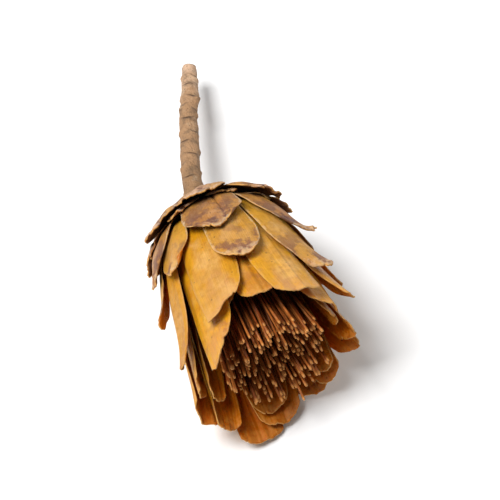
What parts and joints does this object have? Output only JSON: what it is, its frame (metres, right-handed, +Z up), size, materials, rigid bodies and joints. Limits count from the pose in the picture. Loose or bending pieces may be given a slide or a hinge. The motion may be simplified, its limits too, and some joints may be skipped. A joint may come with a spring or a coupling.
{
  "type": "dried protea head",
  "caption": "Dried, trimmed protea flower head on a short cut stem, lying on its side, with overlapping leathery bracts round a brush of florets.",
  "frame": {"origin": "on the floor under the middle of the bounding box of the head as it lies", "axes": "+Z up; the head's axis lies along Y, with the stem towards +Y and the open mouth towards -Y"},
  "size_m": [0.0542, 0.1332, 0.0532],
  "materials": {
    "stem_bark": "matte",
    "receptacle_wood": "matte",
    "floret_brown": "matte",
    "scale_bark": "matte",
    "scale_leather": "matte",
    "outer_leather": "matte",
    "long_leather": "satin",
    "inner_leather": "satin",
    "throat_leather": "satin"
  },
  "bodies": {
    "root": {"stem": "stem_bark", "receptacle": "receptacle_wood", "florets": "floret_brown", "basal_scale_1": "scale_bark", "basal_scale_2": "scale_bark", "basal_scale_3": "scale_bark", "basal_scale_4": "scale_bark", "basal_scale_5": "scale_bark", "basal_scale_6": "scale_bark", "basal_scale_7": "scale_bark", "basal_scale_8": "scale_bark", "round_scale_1": "scale_leather", "round_scale_2": "scale_leather", "round_scale_3": "scale_leather", "round_scale_4": "scale_leather", "round_scale_5": "scale_leather", "round_scale_6": "scale_leather", "outer_bract_1": "outer_leather", "outer_bract_2": "outer_leather", "outer_bract_3": "outer_leather", "outer_bract_4": "outer_leather", "outer_bract_5": "outer_leather", "outer_bract_6": "outer_leather", "outer_bract_7": "outer_leather", "outer_bract_8": "outer_leather", "long_bract_1": "long_leather", "long_bract_2": "long_leather", "long_bract_3": "long_leather", "long_bract_4": "long_leather", "long_bract_5": "long_leather", "long_bract_6": "long_leather", "long_bract_7": "long_leather", "long_bract_8": "long_leather", "inner_bract_1": "inner_leather", "inner_bract_2": "inner_leather", "inner_bract_3": "inner_leather", "inner_bract_4": "inner_leather", "inner_bract_5": "inner_leather", "inner_bract_6": "inner_leather", "inner_bract_7": "inner_leather", "inner_bract_8": "inner_leather", "throat_bract_1": "throat_leather", "throat_bract_2": "throat_leather", "throat_bract_3": "throat_leather", "throat_bract_4": "throat_leather", "throat_bract_5": "throat_leather", "throat_bract_6": "throat_leather"}
  },
  "joints": []
}
